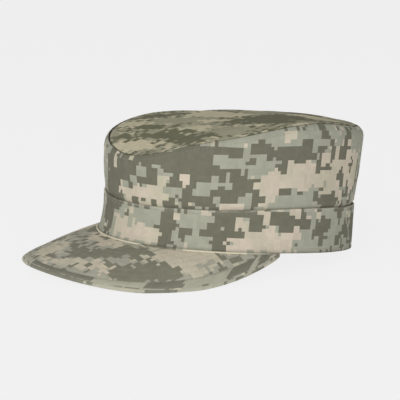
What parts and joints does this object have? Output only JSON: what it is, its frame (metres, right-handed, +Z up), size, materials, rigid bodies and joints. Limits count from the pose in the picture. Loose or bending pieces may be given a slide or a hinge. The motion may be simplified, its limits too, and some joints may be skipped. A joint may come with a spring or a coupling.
{
  "type": "patrol cap",
  "caption": "Soft cloth patrol cap with an oval top, a side wall that rises to the back, a plain band and a stiff curved visor, in pixel camouflage",
  "frame": {"origin": "On the table under the middle of the whole cap's outline from above", "axes": "+Z up, +Y to the back of the cap, the visor points along -Y, +X to the wearer's left as the cap faces -Y"},
  "size_m": [0.1964, 0.2808, 0.1111],
  "materials": {
    "band_cloth": "matte pixel camouflage",
    "side_cloth": "matte pixel camouflage",
    "top_cloth": "matte pixel camouflage",
    "visor_cloth": "matte pixel camouflage, quilted by rows of stitching"
  },
  "bodies": {
    "root": {"band": "band_cloth", "crown_side": "side_cloth", "crown_top": "top_cloth", "visor": "visor_cloth"}
  },
  "joints": []
}
